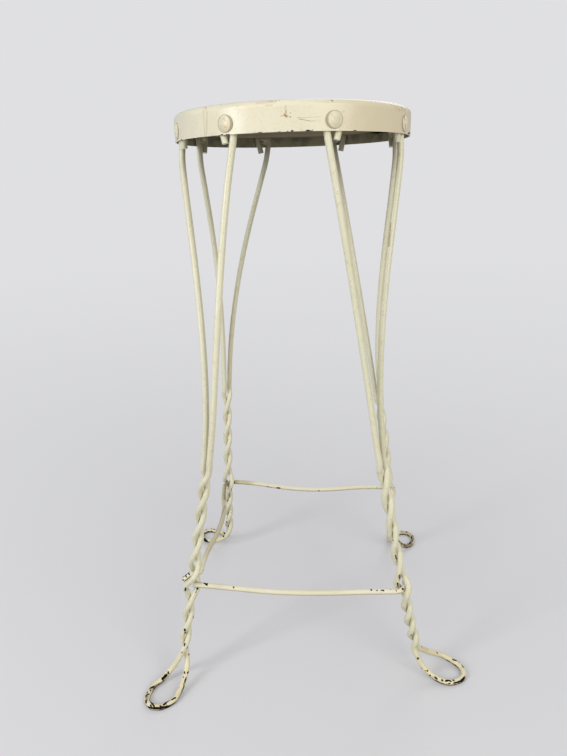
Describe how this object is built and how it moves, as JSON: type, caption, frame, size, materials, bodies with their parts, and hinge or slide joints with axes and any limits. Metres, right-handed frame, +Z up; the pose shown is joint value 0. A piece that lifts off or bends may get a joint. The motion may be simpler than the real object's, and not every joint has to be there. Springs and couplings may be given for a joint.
{
  "type": "stool",
  "caption": "Tall round stool: a board seat in a rolled sheet-metal band, riveted to splayed legs of twisted painted wire that end in loop feet, with a wire rung ring threaded through the legs.",
  "frame": {"origin": "centre of the whole stool's footprint box, on the floor", "axes": "+Z up along the stool's height; -Y towards the front, midway between the two front legs"},
  "size_m": [0.4779, 0.4519, 0.777],
  "materials": {
    "band_paint": "aged satin cream paint on sheet steel, chipped at the edges",
    "wire_paint": "aged satin cream paint on steel wire, worn to dark metal at the feet and rungs",
    "rivet_paint": "aged satin cream paint over a dome head",
    "washer_steel": "thin, dull, dirty paint on steel",
    "board_wood": "aged bare softwood below, cream paint on top"
  },
  "bodies": {
    "root": {"seat_band": "band_paint", "seat_board": "board_wood", "rivet_1": "rivet_paint", "rivet_2": "rivet_paint", "rivet_3": "rivet_paint", "rivet_4": "rivet_paint", "rivet_5": "rivet_paint", "rivet_6": "rivet_paint", "rivet_7": "rivet_paint", "rivet_8": "rivet_paint", "washer_1": "washer_steel", "washer_2": "washer_steel", "washer_3": "washer_steel", "washer_4": "washer_steel", "washer_5": "washer_steel", "washer_6": "washer_steel", "washer_7": "washer_steel", "washer_8": "washer_steel", "leg_wire_front_left": "wire_paint", "leg_wire_front_right": "wire_paint", "leg_wire_back_right": "wire_paint", "leg_wire_back_left": "wire_paint", "rung_ring": "wire_paint"}
  },
  "joints": []
}
